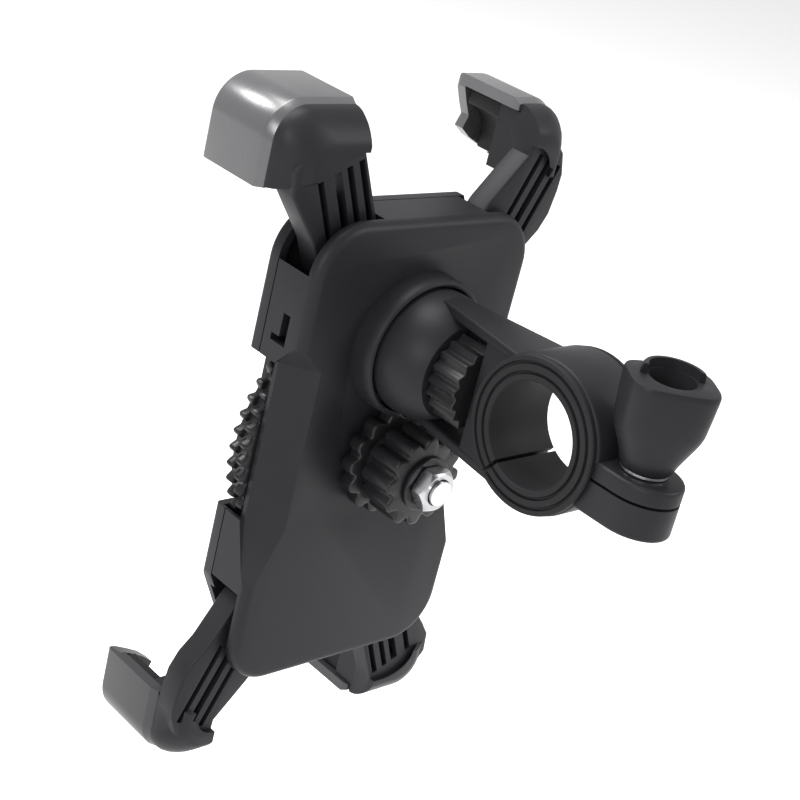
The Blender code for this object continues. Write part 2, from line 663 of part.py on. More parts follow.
def in_arm(kind, points):
    """Corner points given as (x, z) of the +X claw, in the arm's own axes."""
    sign = 1.0 if kind == "A" else -1.0
    out = Vector((sin(ARM_LEAN), sign * cos(ARM_LEAN)))
    side = Vector((-out.y, out.x))
    return [(Vector((x, sign * z)).dot(out), Vector((x, sign * z)).dot(side)) for x, z in points]


ARM_PLAN = {
    "A": [(9.4, 45.0), (24.0, 37.6), (30.1, 49.9), (34.4, 55.4), (38.4, 60.6), (38.4, 66.0), (33.0, 72.5),
          (22.6, 72.5), (13.7, 54.1)],
    "B": [(11.8, 42.8), (28.3, 34.4), (35.1, 46.0), (40.2, 52.6), (41.2, 60.0), (40.6, 66.0), (34.0, 73.5),
          (28.6, 73.5), (28.2, 67.6), (18.9, 56.5)],
}
SLOT = {"A": ((23.4, 55.0), (27.2, 64.0)), "B": ((29.0, 52.5), (34.6, 66.0))}
ARCH = {"A": [(21.4, 70.2), (29.0, 68.8), (32.6, 66.0), (34.4, 60.8)],
        "B": [(28.4, 69.4), (31.2, 67.6), (33.2, 64.6), (34.2, 60.8)]}


def band(start, end, half, shift=0.0):
    """Thin rectangle round a line, moved sideways by the shift."""
    a, b = Vector(start), Vector(end)
    along = (b - a).normalized()
    across = Vector((-along.y, along.x))
    middle = shift * across
    return [tuple(p + middle + q) for p, q in ((a, -half * across), (b, -half * across),
                                               (b, half * across), (a, half * across))]


def outer_corner(x0, x1, z1, r):
    """Outer edge of a claw from its low end, round the corner, to its inner end."""
    points = [(x1, CLAW_Z[0] + 0.8)]
    for k in range(6):
        a = pi / 2 * k / 5
        points.append((x1 - r + r * cos(a), z1 - r + r * sin(a)))
    return points + [(x0, z1)]


def saddle(kind, turn):
    """Black shell behind the cap: it rolls over at the outside and ends in an arch where the arm comes out."""
    levels = []
    for y, inset in ((CLAW_REAR + GAP, 0.0), (-54.0, 0.4), (-51.8, 1.7), (-49.8, 3.8), (-48.2, 6.6)):
        outer = outer_corner(ARCH[kind][0][0], CLAW_OUTER - 0.8 - inset, CLAW_Z[1] - 0.8 - inset,
                             7.0 - 0.4 * inset)
        levels.append((y, wound(kind, in_arm(kind, outer + ARCH[kind]))))
    shape = loft(levels)
    shape.data.transform(arm_frame(kind, turn))
    return shape


def plug(kind, turn):
    """Block that fills the back of the cap, between its walls."""
    x1, z1 = CLAW_OUTER - SHELL_T - GAP, CLAW_Z[1] - SHELL_T - GAP
    outline = [(CLAW_INNER[kind] + 0.8, 62.0), (x1, 62.0), (x1, z1 - 6.3), (x1 - 6.3, z1),
               (CLAW_INNER[kind] + 0.8, z1)]
    return local_prism(kind, turn, wound(kind, in_arm(kind, outline)), PLUG_FRONT, CLAW_REAR + 1.5)


def wound(kind, points):
    """Same turning sense for both arm kinds, so that prisms close the same way."""
    return points if kind == "A" else points[::-1]


def arm(kind, turn, name):
    base = soften(local_prism(kind, turn, wound(kind, in_arm(kind, ARM_PLAN[kind])), *ARM_Y), 0.8, 1)
    add(base, saddle(kind, turn), plug(kind, turn))
    level = LEVEL_A if kind == "A" else LEVEL_B
    add(base, local_prism(kind, turn, rack_outline(rack_phase(kind)), *level))
    start, end = SLOT[kind]
    cut(base, local_prism(kind, turn, in_arm(kind, band(start, end, 1.1)), -58.0, -40))
    for shift in (-4.0, 4.0):
        groove = band(start, end, 1.1, shift)
        cut(base, local_prism(kind, turn, in_arm(kind, groove), ARM_Y[1] - 1.6, -40))
    finish(base, name, PLASTIC, 0.5, 0.0, (0, 0, HUB_Z))


def cap_outline(x0):
    """Claw cap seen along the phone's depth, with its big outer corner."""
    (z0, z1), r = CLAW_Z, 8.5
    points = [(x0, z0), (CLAW_OUTER, z0)]
    for k in range(7):
        a = pi / 2 * k / 6
        points.append((CLAW_OUTER - r + r * cos(a), z1 - r + r * sin(a)))
    return points + [(x0, z1)]


def mirrored(points, sx, sz):
    flipped = [(sx * x, HUB_Z + sz * z) for x, z in points]
    return flipped if sx * sz > 0 else flipped[::-1]


def claw_cap(kind, sx, sz, name):
    """Hard shell: front lip and the two outer walls, open behind where the saddle fills it."""
    x0 = CLAW_INNER[kind]
    cap = soften(prism(mirrored(cap_outline(x0), sx, sz), CLAW_FRONT, CLAW_REAR), 1.0, 2)
    wall_x, wall_z = CLAW_OUTER - SHELL_T, CLAW_Z[1] - SHELL_T
    inside = [(10.0, 50.0), (wall_x, 50.0), (wall_x, wall_z - 5.9), (wall_x - 5.9, wall_z), (10.0, wall_z)]
    cut(cap, prism(mirrored(inside, sx, sz), CLAW_FRONT + LIP_T, CLAW_REAR + 5.0))
    window = [(10.0, 50.0), (37.0, 50.0), (42.0, 59.8), (37.0, 61.0), (31.0, 64.0), (x0 + 3.0, 68.5), (x0, 74.0),
              (x0, 76.0), (10.0, 76.0)]
    cut(cap, prism(mirrored(window, sx, sz), CLAW_FRONT - 5, CLAW_FRONT + LIP_T + 1.0))
    finish(cap, name, CAP_GREY, 0.45, 0.0, (0, 0, HUB_Z))


def claw_pad(kind, sx, sz, name):
    """Rubber corner between the phone and the cap walls."""
    x0 = CLAW_INNER[kind] + 1.5
    x1, z1 = CLAW_OUTER - SHELL_T - GAP, CLAW_Z[1] - SHELL_T - GAP
    outer = [(x0, z1), (x0, PHONE_Z), (PHONE_X - 6.5, PHONE_Z), (PHONE_X - 2.2, PHONE_Z - 1.9),
             (PHONE_X, PHONE_Z - 6.5), (PHONE_X, 61.5), (x1, 61.5), (x1, z1 - 6.3), (x1 - 6.3, z1)]
    pad = prism(mirrored(outer[::-1], sx, sz), CLAW_FRONT + LIP_T + GAP, PLUG_FRONT - GAP)
    finish(pad, name, RUBBER, 0.75, 0.0, (0, 0, HUB_Z))


def arms_and_claws():
    corners = (("A", 0, 1, 1, "upper_right"), ("A", 180, -1, -1, "lower_left"),
               ("B", 0, 1, -1, "lower_right"), ("B", 180, -1, 1, "upper_left"))
    for kind, turn, sx, sz, place_name in corners:
        arm(kind, turn, "arm_" + place_name)
        claw_cap(kind, sx, sz, "claw_cap_" + place_name)
        claw_pad(kind, sx, sz, "claw_pad_" + place_name)


def main():
    clear_scene()
    clamp_body()
    bar_sleeve()
    clamp_fasteners()
    clamp_knob()
    joint_rings()
    ball_stud()
    ball_lock()
    front_plate()
    cover_screws()
    rear_cover()
    phone_pad()
    main_bolt()
    adjusting_wheel()
    pinion()
    lock_knob()
    arms_and_claws()


main()
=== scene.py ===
"""Looks for the handlebar phone mount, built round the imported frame.

The detailed pieces are modelled in millimetres in the mount's own frame (origin at the clamp ring's centre,
+Z up the phone, -Y the screen side, X the handlebar) and scaled to metres when they are shown.
"""

import json
from math import asin, cos, pi, radians, sin, sqrt

import bmesh
import bpy
from mathutils import Matrix, Vector


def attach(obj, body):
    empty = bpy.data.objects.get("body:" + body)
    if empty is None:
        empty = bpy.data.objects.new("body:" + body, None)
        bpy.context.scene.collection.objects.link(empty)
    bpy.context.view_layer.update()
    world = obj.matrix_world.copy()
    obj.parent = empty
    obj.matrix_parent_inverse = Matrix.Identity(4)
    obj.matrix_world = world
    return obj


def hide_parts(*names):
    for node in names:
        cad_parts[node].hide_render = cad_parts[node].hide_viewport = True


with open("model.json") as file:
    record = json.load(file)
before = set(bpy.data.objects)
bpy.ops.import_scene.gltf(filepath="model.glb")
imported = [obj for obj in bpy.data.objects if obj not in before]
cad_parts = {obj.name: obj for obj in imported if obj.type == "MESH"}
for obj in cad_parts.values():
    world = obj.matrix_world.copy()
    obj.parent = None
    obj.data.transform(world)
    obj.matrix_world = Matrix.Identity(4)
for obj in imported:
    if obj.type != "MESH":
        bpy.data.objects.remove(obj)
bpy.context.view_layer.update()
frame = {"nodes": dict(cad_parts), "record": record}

# Places that the pieces share
BALL = Vector((0.0, -38.5, -1.0))
HUB_Z = -28.7
HUB = (0.0, 0.0, HUB_Z)
LUG_Y = 22.0
LUG = (0.0, LUG_Y, 0.0)
LEAN = radians(27.0)
WING_TURN = radians(-36.0)

# Clamp
RING_R = 16.5
RING_HALF = 7.6
RING_BORE_R = 14.9
YOKE_NARROW = (3.4, -36.0)
YOKE_WIDE = (7.6, -8.5)
YOKE_PLATES = ((10.8, 13.2), (-15.2, -12.8))
WEB_PLAN = [(-5.8, -19.2), (5.8, -19.2), (6.9, -12.5), (-6.9, -12.5)]
WEB_Z = (-13.8, 11.8)
LUG_REACH = 9.0
LUG_Z = (-9.0, 2.3)
SPLIT = (-1.8, -1.2)
BOLT_HOLE_R = 2.9
DOME_R = 14.5
DOME_FRONT = -3.0
DOME_FLAT = 9.5
SOCKET_R = 9.9
PLUNGER_HOLE_R = 3.3

# Case
CASE_HALF = 31.5
CASE_LOW = -84.4
CASE_HIGH = 27.0
CASE_CORNER = 12.0
CASE_FRONT = -61.0
CASE_REAR = -45.0
PLATE_EDGE = -57.6
COVER_EDGE = -57.3
FLOOR_FRONT = -59.2
FLOOR_REAR = -47.4
WALL = 2.0
BAY = (-44.0, -6.0)
BAY_REAR = -53.3
WAIST_EDGE = 24.4
WAIST_FLANK = 30.2
WAIST_DEPTH = -52.2
WAIST_REAR = -44.99
POST_R = 3.0
POSTS = ((-9.5, 49.0), (6.0, 49.0), (9.5, -49.0), (-6.0, -49.0))

# Drive
WHEEL_R = 33.5
WHEEL_RIBS = 52
HUB_HOLE_R = 3.2


# ---------------------------------------------------------------- modelling helpers

def solid(bm):
    """Close a bmesh into a scene object with its normals facing out."""
    bmesh.ops.remove_doubles(bm, verts=bm.verts, dist=0.0005)
    bmesh.ops.recalc_face_normals(bm, faces=bm.faces)
    mesh = bpy.data.meshes.new("solid")
    bm.to_mesh(mesh)
    bm.free()
    obj = bpy.data.objects.new("solid", mesh)
    bpy.context.scene.collection.objects.link(obj)
    return obj


def place(axis, u, v, w):
    """Point with (u, v) across the axis and w along it."""
    return {"Y": (u, w, v), "X": (w, u, v), "Z": (u, v, w)}[axis]


def loft(levels, axis="Y"):
    """Closed solid through outlines of equal length, each given as (height, outline)."""
    bm = bmesh.new()
    rows = [[bm.verts.new(place(axis, u, v, h)) for u, v in outline] for h, outline in levels]
    count = len(rows[0])
    for low, high in zip(rows, rows[1:]):
        for i in range(count):
            j = (i + 1) % count
            bm.faces.new((low[i], low[j], high[j], high[i]))
    bm.faces.new(rows[0])
    bm.faces.new(rows[-1])
    return solid(bm)


def prism(outline, lo, hi, axis="Y"):
    return loft([(lo, outline), (hi, outline)], axis)


def box(x, y, z):
    """Block between the (low, high) pairs on each axis."""
    return prism([(x[0], z[0]), (x[1], z[0]), (x[1], z[1]), (x[0], z[1])], y[0], y[1])


def lathe(profile, axis, centre, steps=96):
    """Turn a closed (height, radius) profile about an axis through the centre."""
    bm = bmesh.new()
    ring = [bm.verts.new((r, 0.0, h)) for h, r in profile]
    edges = []
    for i, vert in enumerate(ring):
        after = ring[(i + 1) % len(ring)]
        if vert.co.x > 1e-6 or after.co.x > 1e-6:
            edges.append(bm.edges.new((vert, after)))
    bmesh.ops.spin(bm, geom=ring + edges, cent=(0, 0, 0), axis=(0, 0, 1), angle=2 * pi, steps=steps)
    turn = {"Z": Matrix.Identity(4), "Y": Matrix.Rotation(-pi / 2, 4, "X"),
            "X": Matrix.Rotation(pi / 2, 4, "Y")}[axis]
    bmesh.ops.transform(bm, matrix=Matrix.Translation(centre) @ turn, verts=bm.verts)
    return solid(bm)


def rod(axis, centre, r, lo, hi, steps=64):
    return lathe([(lo, 0.0), (lo, r), (hi, r), (hi, 0.0)], axis, centre, steps)


def settle(obj):
    """Replace an object's mesh by its evaluated one and drop the modifiers."""
    graph = bpy.context.evaluated_depsgraph_get()
    mesh = bpy.data.meshes.new_from_object(obj.evaluated_get(graph))
    obj.modifiers.clear()
    obj.data = mesh
    return obj


def merge(obj, tool, operation):
    """Boolean of two solids, with the near-double vertices that it leaves joined up."""
    mod = obj.modifiers.new(operation, "BOOLEAN")
    mod.operation = operation
    mod.solver = "EXACT"
    mod.object = tool
    settle(obj)
    bpy.data.objects.remove(tool, do_unlink=True)
    bm = bmesh.new()
    bm.from_mesh(obj.data)
    bmesh.ops.remove_doubles(bm, verts=bm.verts, dist=0.002)
    bmesh.ops.dissolve_degenerate(bm, edges=bm.edges, dist=0.002)
    bm.to_mesh(obj.data)
    bm.free()
    return obj


def add(obj, *tools):
    for tool in tools:
        merge(obj, tool, "UNION")
    return obj


def cut(obj, *tools):
    for tool in tools:
        merge(obj, tool, "DIFFERENCE")
    return obj


def soften(obj, width, segments=3, angle=40.0):
    mod = obj.modifiers.new("edges", "BEVEL")
    mod.width = width
    mod.segments = segments
    mod.limit_method = "ANGLE"
    mod.angle_limit = radians(angle)
    mod.use_clamp_overlap = True
    return settle(obj)


def round_rect(x0, x1, z0, z1, r, steps=12):
    points = []
    corners = ((x1 - r, z1 - r, 0), (x0 + r, z1 - r, 90), (x0 + r, z0 + r, 180), (x1 - r, z0 + r, 270))
    for cx, cz, start in corners:
        for k in range(steps + 1):
            a = radians(start + 90.0 * k / steps)
            points.append((cx + r * cos(a), cz + r * sin(a)))
    return points


def hexagon(across, centre=(0.0, 0.0)):
    r = across / sqrt(3.0)
    return [(centre[0] + r * cos(k * pi / 3), centre[1] + r * sin(k * pi / 3)) for k in range(6)]


def waved(radius, depth, lobes, centre, samples=8, sharp=1.6, phase=0.0):
    """Outline with smooth lobes: rounded crests and narrow valleys."""
    points = []
    for k in range(lobes * samples):
        a = 2 * pi * k / (lobes * samples)
        dip = (0.5 - 0.5 * cos(lobes * a)) ** sharp
        r = radius - depth * dip
        points.append((centre[0] + r * cos(a + phase), centre[1] + r * sin(a + phase)))
    return points


# ---------------------------------------------------------------- materials

def moulded(name, colour, rough, grain=0.15, scale=2600.0, spread=0.12, specular=0.5):
    """Moulded plastic or rubber: fine spark-eroded grain and slight unevenness in tone and gloss."""
    mat = bpy.data.materials.new(name)
    mat.use_nodes = True
    tree = mat.node_tree
    shader = tree.nodes["Principled BSDF"]
    shader.inputs["Specular IOR Level"].default_value = specular
    coords = tree.nodes.new("ShaderNodeTexCoord")
    broad = tree.nodes.new("ShaderNodeTexNoise")
    broad.inputs["Scale"].default_value = 60.0
    broad.inputs["Detail"].default_value = 4.0
    fine = tree.nodes.new("ShaderNodeTexNoise")
    fine.inputs["Scale"].default_value = scale
    fine.inputs["Detail"].default_value = 2.0
    tone = tree.nodes.new("ShaderNodeValToRGB")
    tone.color_ramp.elements[0].position = 0.3
    tone.color_ramp.elements[1].position = 0.7
    tone.color_ramp.elements[0].color = (*[c * (1 - spread) for c in colour], 1.0)
    tone.color_ramp.elements[1].color = (*[c * (1 + spread) for c in colour], 1.0)
    gloss = tree.nodes.new("ShaderNodeMapRange")
    gloss.inputs["To Min"].default_value = rough - 0.05
    gloss.inputs["To Max"].default_value = rough + 0.05
    bump = tree.nodes.new("ShaderNodeBump")
    bump.inputs["Strength"].default_value = grain
    bump.inputs["Distance"].default_value = 0.0001
    link = tree.links.new
    link(coords.outputs["Object"], broad.inputs["Vector"])
    link(coords.outputs["Object"], fine.inputs["Vector"])
    link(broad.outputs["Fac"], tone.inputs["Fac"])
    link(tone.outputs["Color"], shader.inputs["Base Color"])
    link(broad.outputs["Fac"], gloss.inputs["Value"])
    link(gloss.outputs["Result"], shader.inputs["Roughness"])
    link(fine.outputs["Fac"], bump.inputs["Height"])
    link(bump.outputs["Normal"], shader.inputs["Normal"])
    return mat


def metal(name, colour, rough, grain=0.05):
    mat = moulded(name, colour, rough, grain, 900.0, 0.05)
    mat.node_tree.nodes["Principled BSDF"].inputs["Metallic"].default_value = 1.0
    return mat


BLACK = moulded("black_plastic", (0.0105, 0.0105, 0.0125), 0.46, 0.18, specular=0.16)
GLOSSY = moulded("black_smooth", (0.0085, 0.0085, 0.0095), 0.33, 0.06, specular=0.22)
# Both grey caps are one grey plastic. The lighter, glossier copy is painted light for the upper claws, and
# the darker copy is painted shade for the lower claws.
CAP_PAINTED_LIT = moulded("grey_plastic_painted_lit", (0.050, 0.050, 0.053), 0.27, 0.04, specular=0.8)
CAP_PAINTED_SHADE = moulded("grey_plastic_painted_shade", (0.022, 0.022, 0.024), 0.36, 0.08, specular=0.35)
RUBBER = moulded("rubber", (0.010, 0.010, 0.011), 0.60, 0.25, 1800.0, specular=0.14)
STEEL = metal("zinc_steel", (0.60, 0.60, 0.61), 0.32)
CHROME = metal("chrome", (0.42, 0.42, 0.43), 0.28)
BRASS = metal("brass", (0.70, 0.52, 0.24), 0.35)
NYLON = moulded("nylon", (0.60, 0.59, 0.55), 0.5, 0.1)
BY_SLOT = {"black_plastic": BLACK, "grey_plastic": CAP_PAINTED_LIT, "rubber": RUBBER, "steel": STEEL,
           "chrome": CHROME, "brass": BRASS, "nylon": NYLON}


def show(obj, name, body, nodes, mat, angle=32.0):
    """Scale a finished piece to metres, shade it and let it stand for its CAD nodes."""
    obj.data.transform(Matrix.Scale(0.001, 4))
    obj.name = name
    obj.data.name = name
    obj.data.materials.clear()
    obj.data.materials.append(mat)
    obj.data.shade_smooth()
    obj.data.set_sharp_from_angle(angle=radians(angle))
    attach(obj, body)
    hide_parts(*nodes)
    return obj


def paint_cad():
    """Give the CAD pieces that stay in view the material of their own slot."""
    slots = {s["node"]: s["material_slot"] for s in frame["record"]["subparts"]}
    for node, obj in frame["nodes"].items():
        obj.data.materials.clear()
        obj.data.materials.append(BY_SLOT[slots[node]])


# ---------------------------------------------------------------- clamp side

def yoke_plate(lo, hi):
    """Wedge plate from the dome to the ring, with rounded edges."""
    (x0, y0), (x1, y1) = YOKE_NARROW, YOKE_WIDE
    return soften(prism([(-x0, y0), (x0, y0), (x1, y1), (-x1, y1)], lo, hi, "Z"), 0.7, 4)


def dome():
    """Sphere round the ball joint, cut by its front rim and by the flat behind."""
    first, last = asin(DOME_FRONT / DOME_R), asin(DOME_FLAT / DOME_R)
    turns = [first + (last - first) * k / 24 for k in range(25)]
    arc = [(DOME_R * sin(a), DOME_R * cos(a)) for a in turns]
    return lathe([(DOME_FRONT, 0.0)] + arc + [(DOME_FLAT, 0.0)], "Y", BALL, 96)


def joint_hollow():
    """Room in the dome for the socket ring, the seats, the ball and the plunger."""
    turns = [radians(18 + 6.5 * k) for k in range(7)]
    arc = [(SOCKET_R * sin(a), SOCKET_R * cos(a)) for a in turns]
    stem = [(arc[-1][0], PLUNGER_HOLE_R), (14.0, PLUNGER_HOLE_R), (14.0, 0.0)]
    return lathe([(-9.0, 0.0), (-9.0, 11.9), (arc[0][0], 11.9)] + arc + stem, "Y", BALL, 64)


def lug_block():
    """Both lugs in one piece, flush with the ring's faces, with a round end about the clamp bolt."""
    turns = [pi * k / 32 for k in range(33)]
    round_end = [(RING_HALF * cos(a), LUG_Y + LUG_REACH * sin(a)) for a in turns]
    plan = [(-RING_HALF, 8.0), (RING_HALF, 8.0)] + round_end
    return soften(prism(plan, *LUG_Z, "Z"), 0.9, 4)


def clamp_body():
    """Split ring with its lugs, and the yoke that carries the dome and frames the lock wheel."""
    ring = soften(rod("X", (0, 0, 0), RING_R, -RING_HALF, RING_HALF, 128), 0.8, 3)
    plates = [yoke_plate(*level) for level in YOKE_PLATES]
    body = add(ring, *plates, lug_block(), dome(), prism(WEB_PLAN, *WEB_Z, "Z"))
    cut(body, joint_hollow(), rod("X", (0, 0, 0), RING_BORE_R, -20, 20, 128))
    cut(body, box((-20, 20), (12.0, 50.0), SPLIT))
    cut(body, rod("Z", LUG, BOLT_HOLE_R, -20, 20), prism(hexagon(10.8, LUG), -14.0, -5.8, "Z"))
    show(body, "clamp_body_shell", "clamp", ["clamp_body"], BLACK)


def bar_sleeve():
    """Rubber sleeve in the ring, with a grooved lip outside each face and a slit below."""
    lip = [(9.1, 11.2), (8.9, 11.0)]
    face = [(9.1, 12.25), (8.4, 12.45), (8.4, 12.85), (9.05, 13.05), (9.05, 14.3), (8.4, 14.5), (8.4, 14.9),
            (9.0, 15.1), (9.0, 15.95), (8.75, 16.2), (7.9, 16.2), (7.9, 14.6)]
    half = list(reversed(lip)) + face
    sleeve = lathe(half + [(-h, r) for h, r in reversed(half)], "X", (0, 0, 0), 128)
    slit = box((-20, 20), (0, 30), (-0.4, 0.4))
    slit.data.transform(Matrix.Rotation(radians(-125.0), 4, "X"))
    show(cut(sleeve, slit), "bar_sleeve_rubber", "clamp", ["bar_sleeve"], RUBBER)


def wing_outline(half_long, half_wide, square, steps=64):
    """Thumb nut in plan: round when square is 2, nearer a rounded bar as it grows."""
    points = []
    for k in range(steps):
        a = 2 * pi * k / steps
        c, d = abs(cos(a)) / half_long, abs(sin(a)) / half_wide
        r = (c ** square + d ** square) ** (-1 / square)
        turned = a + WING_TURN
        points.append((r * cos(turned), LUG_Y + r * sin(turned)))
    return points


def clamp_knob():
    """Thumb nut: round foot, two wings that widen towards the flat top, stepped bore and half collar."""
    sizes = ((3.4, 5.1, 5.0, 2.0), (3.7, 5.4, 5.3, 2.0), (6.0, 6.1, 5.9, 2.2), (8.0, 7.05, 6.3, 2.4),
             (10.0, 8.0, 6.6, 2.6), (11.5, 8.4, 6.85, 3.0), (13.0, 8.6, 7.0, 3.4), (16.5, 8.8, 7.2, 3.6),
             (20.5, 9.0, 7.4, 3.8), (21.5, 9.0, 7.4, 3.8), (21.9, 8.85, 7.25, 3.8), (22.0, 8.6, 7.0, 3.8))
    knob = loft([(z, wing_outline(x, y, n)) for z, x, y, n in sizes], "Z")
    collar = lathe([(21.0, 5.2), (21.0, 6.6), (23.6, 6.4), (24.0, 6.1), (24.0, 5.3)], "Z", LUG, 96)
    keep = box((-10.0, 10.0), (-0.5, 10.0), (20.0, 26.0))
    keep.data.transform(Matrix.Translation(LUG) @ Matrix.Rotation(WING_TURN, 4, "Z"))
    cut(collar, keep)
    add(knob, collar)
    cut(knob, rod("Z", LUG, 4.8, 12.0, 30.0, 96), rod("Z", LUG, BOLT_HOLE_R, 0.0, 14.0))
    show(knob, "clamp_knob_winged", "thumb_nut", ["clamp_knob"], BLACK, 38.0)


def ball_lock_wheel():
    wheel = prism(waved(10.3, 1.0, 20, (BALL.x, BALL.z), 8, 0.9), -28.6, -20.6)
    cut(wheel, rod("Y", (0, 0, BALL.z), PLUNGER_HOLE_R, -40, 0))
    soften(wheel, 0.35, 3, 60)
    show(wheel, "ball_lock_knurl", "ball_lock", ["ball_lock_wheel"], GLOSSY)


# ---------------------------------------------------------------- case

def case_outline(inset=0.0):
    return round_rect(-CASE_HALF + inset, CASE_HALF - inset, CASE_LOW + inset, CASE_HIGH - inset,
                      CASE_CORNER - inset)


def bay_cuts():
    """Room for the wheel, and the two side bays where its rim comes out."""
    cuts = [rod("Y", HUB, 34.2, FLOOR_FRONT, BAY_REAR, 128)]
    for side in (-1, 1):
        cuts.append(box(sorted((side * 26.0, side * 40.0)), (-70, BAY_REAR), BAY))
    return cuts


def front_plate():
    """Shallow front shell with posts, countersunk screw holes, wheel bays and two cut corners."""
    plate = soften(prism(case_outline(), CASE_FRONT, -50.0), 1.2, 4)
    cut(plate, box((-50, 50), (PLATE_EDGE, -30), (-120, 60)), prism(case_outline(WALL), FLOOR_FRONT, -40))
    cut(plate, *bay_cuts())
    hole = [(-63.0, 0.0), (-63.0, 2.6), (-60.85, 2.6), (-59.55, 1.4), (-50.0, 1.4), (-50.0, 0.0)]
    for x, z in POSTS:
        add(plate, rod("Y", (x, 0, HUB_Z + z), POST_R, -59.7, PLATE_EDGE, 24))
        cut(plate, lathe(hole, "Y", (x, 0, HUB_Z + z), 32))
    for sx, sz in ((1, -1), (-1, 1)):
        corner = ((31.7, 32.0), (45.0, 32.0), (45.0, 70.0), (19.0, 70.0), (19.0, 56.2))
        cut(plate, prism(mirrored(corner, sx, sz), -66.0, -52.0))
    show(plate, "front_plate_shell", "case", ["front_plate"], BLACK)


def arm_frame(kind, turn):
    """Matrix from the arm's own (outward, y, sideways) axes to the mount, about the hub axis."""
    lean = LEAN if kind == "A" else pi - LEAN
    out = Vector((sin(lean), 0.0, cos(lean)))
    side = Vector((-out.z, 0.0, out.x))
    turned = Matrix((out, Vector((0, 1, 0)), side)).transposed().to_4x4()
    return Matrix.Translation(HUB) @ Matrix.Rotation(radians(turn), 4, "Y") @ turned


def local_prism(kind, turn, outline, lo, hi):
    shape = prism(outline, lo, hi)
    shape.data.transform(arm_frame(kind, turn))
    return shape


def arm_gate(kind, turn):
    """Opening in the cover's wall for the whole travel of the arm."""
    inner, outer = (-8.0, 13.0) if kind == "A" else (-10.0, 13.6)
    return local_prism(kind, turn, [(37, inner), (90, inner), (90, outer), (37, outer)], -80.0, -47.7)


def flare(side, share):
    """Cutter section beside the waist: share 0 is the waist itself, share 1 the full width."""
    edge, flank, depth = WAIST_EDGE + 6.6 * share, WAIST_FLANK + 1.8 * share, WAIST_DEPTH + 5.7 * share
    return [(side * edge, WAIST_REAR), (side * flank, depth), (side * 45.0, depth), (side * 45.0, -40.0),
            (side * 18.0, -40.0)]


def backing(side, shift):
    """Wall kept behind the waist inside the cover."""
    return [(side * (21.2 + shift), -46.4), (side * (28.6 + shift), -55.0), (side * (28.6 + shift), -90.0),
            (side * 45.0, -90.0), (side * 45.0, -46.4)]


def cover_hollow():
    """Inside of the rear cover, kept clear of the waist."""
    hollow = prism(case_outline(WALL), -80, FLOOR_REAR)
    for side in (-1, 1):
        cut(hollow, prism(backing(side, 0.0), -45.2, -4.8, "Z"))
        for start, end in ((-45.2, -60.0), (-4.8, 0.6)):
            cut(hollow, loft([(start, backing(side, 0.6)), (end, backing(side, 6.6))], "Z"))
    return hollow


def cut_waist(cover):
    """Roll the flat back off beside the wheel and let it flare out above and below."""
    for side in (-1, 1):
        slope = [(side * WAIST_EDGE, WAIST_REAR), (side * WAIST_FLANK, WAIST_DEPTH),
                 (side * WAIST_FLANK, -70.0), (side * 45.0, -70.0), (side * 45.0, -40.0),
                 (side * 18.0, -40.0)]
        cut(cover, prism(slope, *BAY, "Z"))
        for start, end in ((BAY[0], -60.0), (BAY[1], 0.0)):
            cut(cover, loft([(start, flare(side, 0.0)), (end, flare(side, 1.0))], "Z"))


def cut_flank_windows(cover):
    """L-shaped snap-fit windows in the two flank areas that no arm runs through."""
    for turn in (0.0, pi):
        for y, z in (((-52.5, -50.3), (27.0, 34.0)), ((-55.0, -52.3), (27.0, 28.6))):
            window = box((29.0, 40.0), y, z)
            window.data.transform(Matrix.Translation(HUB) @ Matrix.Rotation(turn, 4, "Y"))
            cut(cover, window)


def rear_cover():
    """Rear shell with its waist, wheel bays, arm openings, sunk panel and the rim round the ball joint."""
    cover = soften(prism(case_outline(), -64.0, CASE_REAR), 2.2, 5)
    cut(cover, box((-50, 50), (-90, COVER_EDGE), (-120, 60)), cover_hollow())
    cut_waist(cover)
    cut(cover, *bay_cuts())
    for x, z in POSTS:
        add(cover, rod("Y", (x, 0, HUB_Z + z), POST_R, COVER_EDGE, -46.9, 24))
        cut(cover, rod("Y", (x, 0, HUB_Z + z), 1.4, -60.0, -50.3, 24))
    cut(cover, *[arm_gate(kind, turn) for kind in "AB" for turn in (0, 180)])
    wide = round_rect(-20.0, 20.0, HUB_Z - 19.0, BALL.z + 20.5, 17.0)
    tight = round_rect(-17.5, 17.5, HUB_Z - 16.5, BALL.z + 18.0, 15.0)
    cut(cover, loft([(-45.6, tight), (CASE_REAR, wide), (-30.0, wide)]))
    rim = [(-46.2, 15.0), (-46.2, 16.5), (-42.0, 16.4), (-40.4, 16.3), (-39.9, 16.0), (-39.7, 15.5),
           (-39.9, 15.0)]
    ring = cut(lathe(rim, "Y", (0, 0, BALL.z), 128), rod("Y", HUB, 13.4, -45.3, -30.0, 96))
    add(cover, ring)
    cut(cover, rod("Y", (0, 0, BALL.z), 2.2, -60, -40), rod("Y", HUB, HUB_HOLE_R, -60, -30))
    cut(cover, rod("Y", (0, 0, BALL.z), 3.7, -50.0, -47.35))
    cut_flank_windows(cover)
    show(cover, "rear_cover_shell", "case", ["rear_cover"], BLACK, 28.0)


# ---------------------------------------------------------------- drive and knob

def adjusting_wheel():
    """Wheel with two rows of ribs, the rear row half a rib round from the front one."""
    centre = (0.0, HUB_Z)
    front = prism(waved(WHEEL_R, 2.2, WHEEL_RIBS, centre, 6, 1.0), -58.8, -56.5)
    rear = prism(waved(WHEEL_R, 2.2, WHEEL_RIBS, centre, 6, 1.0, pi / WHEEL_RIBS), -56.0, -53.7)
    core = rod("Y", HUB, 31.8, -58.4, -54.1, 120)
    wheel = add(core, soften(front, 0.5, 2, 50), soften(rear, 0.5, 2, 50))
    cut(wheel, rod("Y", HUB, 6.0, -70, -55.9), rod("Y", HUB, HUB_HOLE_R, -70, -40))
    show(wheel, "adjusting_wheel_ribs", "wheel", ["adjusting_wheel"], GLOSSY)


